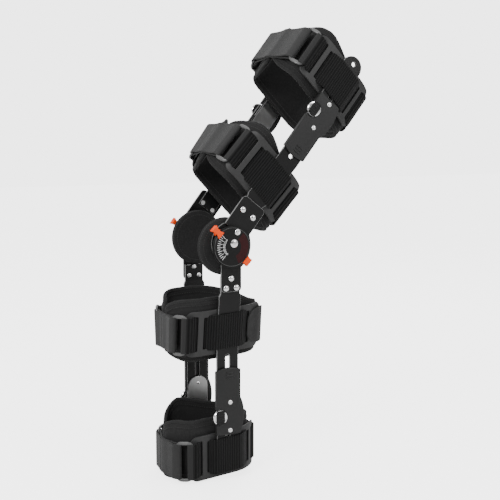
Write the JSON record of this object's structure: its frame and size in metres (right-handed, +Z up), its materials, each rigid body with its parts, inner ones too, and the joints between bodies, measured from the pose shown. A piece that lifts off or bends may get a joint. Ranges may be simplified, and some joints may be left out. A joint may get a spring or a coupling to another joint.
{
  "type": "hinged knee brace",
  "caption": "Bent post-operative knee brace: side bars with dial hinges and sliding length, padded cuffs strapped round thigh and calf, and round pads at the knee.",
  "frame": {"origin": "middle of the knee, midway between the lower pivots of the two hinges", "axes": "+X to the outer side of a left leg, -Y to its front, +Z up along the calf"},
  "size_m": [0.1584, 0.28, 0.5852],
  "materials": {
    "velour": "black velour over foam with a bound edge",
    "webbing": "black ribbed webbing",
    "strap": "dark grey brushed hook-and-loop strap",
    "plate": "dark grey moulded, matte",
    "ring": "grey moulded, satin",
    "coated_metal": "black coated sheet with bare edges",
    "bare_metal": "bare, brushed",
    "moulded": "black moulded, satin",
    "signal": "orange moulded, glossy"
  },
  "bodies": {
    "calf": {"calf_arm_lateral": "coated_metal", "calf_bar_lateral": "coated_metal", "calf_arm_medial": "coated_metal", "calf_bar_medial": "coated_metal", "condyle_pad_lateral": "velour", "condyle_pad_medial": "velour", "calf_upper_liner": "velour", "calf_upper_webbing": "webbing", "calf_upper_front_strap": "strap", "calf_upper_plate_lateral": "plate", "calf_upper_ring_lateral": "ring", "calf_upper_plate_medial": "plate", "calf_upper_ring_medial": "ring"},
    "bridge": {"dial_lateral": "moulded", "dial_medial": "moulded"},
    "thigh": {"thigh_arm_lateral": "coated_metal", "thigh_bar_lateral": "coated_metal", "thigh_arm_medial": "coated_metal", "thigh_bar_medial": "coated_metal", "thigh_lower_liner": "velour", "thigh_lower_webbing": "webbing", "thigh_lower_front_strap": "strap", "thigh_lower_plate_lateral": "plate", "thigh_lower_ring_lateral": "ring", "thigh_lower_plate_medial": "plate", "thigh_lower_ring_medial": "ring"},
    "thigh_slide": {"thigh_tongue_lateral": "bare_metal", "thigh_cover_lateral": "moulded", "thigh_tongue_medial": "bare_metal", "thigh_cover_medial": "moulded", "thigh_upper_liner": "velour", "thigh_upper_webbing": "webbing", "thigh_upper_front_strap": "strap", "thigh_upper_plate_lateral": "plate", "thigh_upper_ring_lateral": "ring", "thigh_upper_plate_medial": "plate", "thigh_upper_ring_medial": "ring"},
    "calf_slide": {"calf_tongue_lateral": "bare_metal", "calf_cover_lateral": "moulded", "calf_tongue_medial": "bare_metal", "calf_cover_medial": "moulded", "calf_lower_liner": "velour", "calf_lower_webbing": "webbing", "calf_lower_front_strap": "strap", "calf_lower_plate_lateral": "plate", "calf_lower_ring_lateral": "ring", "calf_lower_plate_medial": "plate", "calf_lower_ring_medial": "ring"},
    "extension_stop_lateral": {"extension_stop_lateral": "signal"},
    "flexion_stop_lateral": {"flexion_stop_lateral": "signal"},
    "extension_stop_medial": {"extension_stop_medial": "signal"},
    "flexion_stop_medial": {"flexion_stop_medial": "signal"},
    "thigh_button_lateral": {"thigh_button_lateral": "bare_metal"},
    "thigh_button_medial": {"thigh_button_medial": "bare_metal"},
    "calf_button_lateral": {"calf_button_lateral": "bare_metal"},
    "calf_button_medial": {"calf_button_medial": "bare_metal"}
  },
  "joints": [
    {"name": "knee_lower", "type": "hinge", "parent": "calf", "child": "bridge", "pos_m": [0, 0, 0], "axis": [-1, 0, 0], "range_deg": [-19.15, 35]},
    {"name": "knee_upper", "type": "hinge", "parent": "bridge", "child": "thigh", "pos_m": [0, 0.00485, 0.01398], "axis": [-1, 0, 0], "range_deg": [-19.15, 35]},
    {"name": "thigh_length", "type": "slide", "parent": "thigh", "child": "thigh_slide", "axis": [0, 0.6198, 0.7848], "range_m": [-0.015, 0.045]},
    {"name": "calf_length", "type": "slide", "parent": "calf", "child": "calf_slide", "axis": [0, 0, -1], "range_m": [-0.022, 0.009]},
    {"name": "extension_limit_lateral", "type": "hinge", "parent": "bridge", "child": "extension_stop_lateral", "pos_m": [0, -0.00252, -0.00421], "axis": [1, 0, 0], "range_deg": [0, 85]},
    {"name": "flexion_limit_lateral", "type": "hinge", "parent": "bridge", "child": "flexion_stop_lateral", "pos_m": [0, -0.00252, -0.00421], "axis": [1, 0, 0], "range_deg": [0, 90]},
    {"name": "extension_limit_medial", "type": "hinge", "parent": "bridge", "child": "extension_stop_medial", "pos_m": [0, 0.00245, -0.00424], "axis": [1, 0, 0], "range_deg": [0, 85]},
    {"name": "flexion_limit_medial", "type": "hinge", "parent": "bridge", "child": "flexion_stop_medial", "pos_m": [0, 0.00245, -0.00424], "axis": [1, 0, 0], "range_deg": [0, 90]},
    {"name": "thigh_press_lateral", "type": "slide", "parent": "thigh_slide", "child": "thigh_button_lateral", "axis": [-1, 0, 0], "range_m": [0, 0.002], "stiffness_N_per_m": 600},
    {"name": "thigh_press_medial", "type": "slide", "parent": "thigh_slide", "child": "thigh_button_medial", "axis": [1, 0, 0], "range_m": [0, 0.002], "stiffness_N_per_m": 600},
    {"name": "calf_press_lateral", "type": "slide", "parent": "calf_slide", "child": "calf_button_lateral", "axis": [-1, 0, 0], "range_m": [0, 0.002], "stiffness_N_per_m": 600},
    {"name": "calf_press_medial", "type": "slide", "parent": "calf_slide", "child": "calf_button_medial", "axis": [1, 0, 0], "range_m": [0, 0.002], "stiffness_N_per_m": 600}
  ],
  "couplings": [
    {"joint": "knee_upper", "follows": "knee_lower", "ratio": 1}
  ]
}
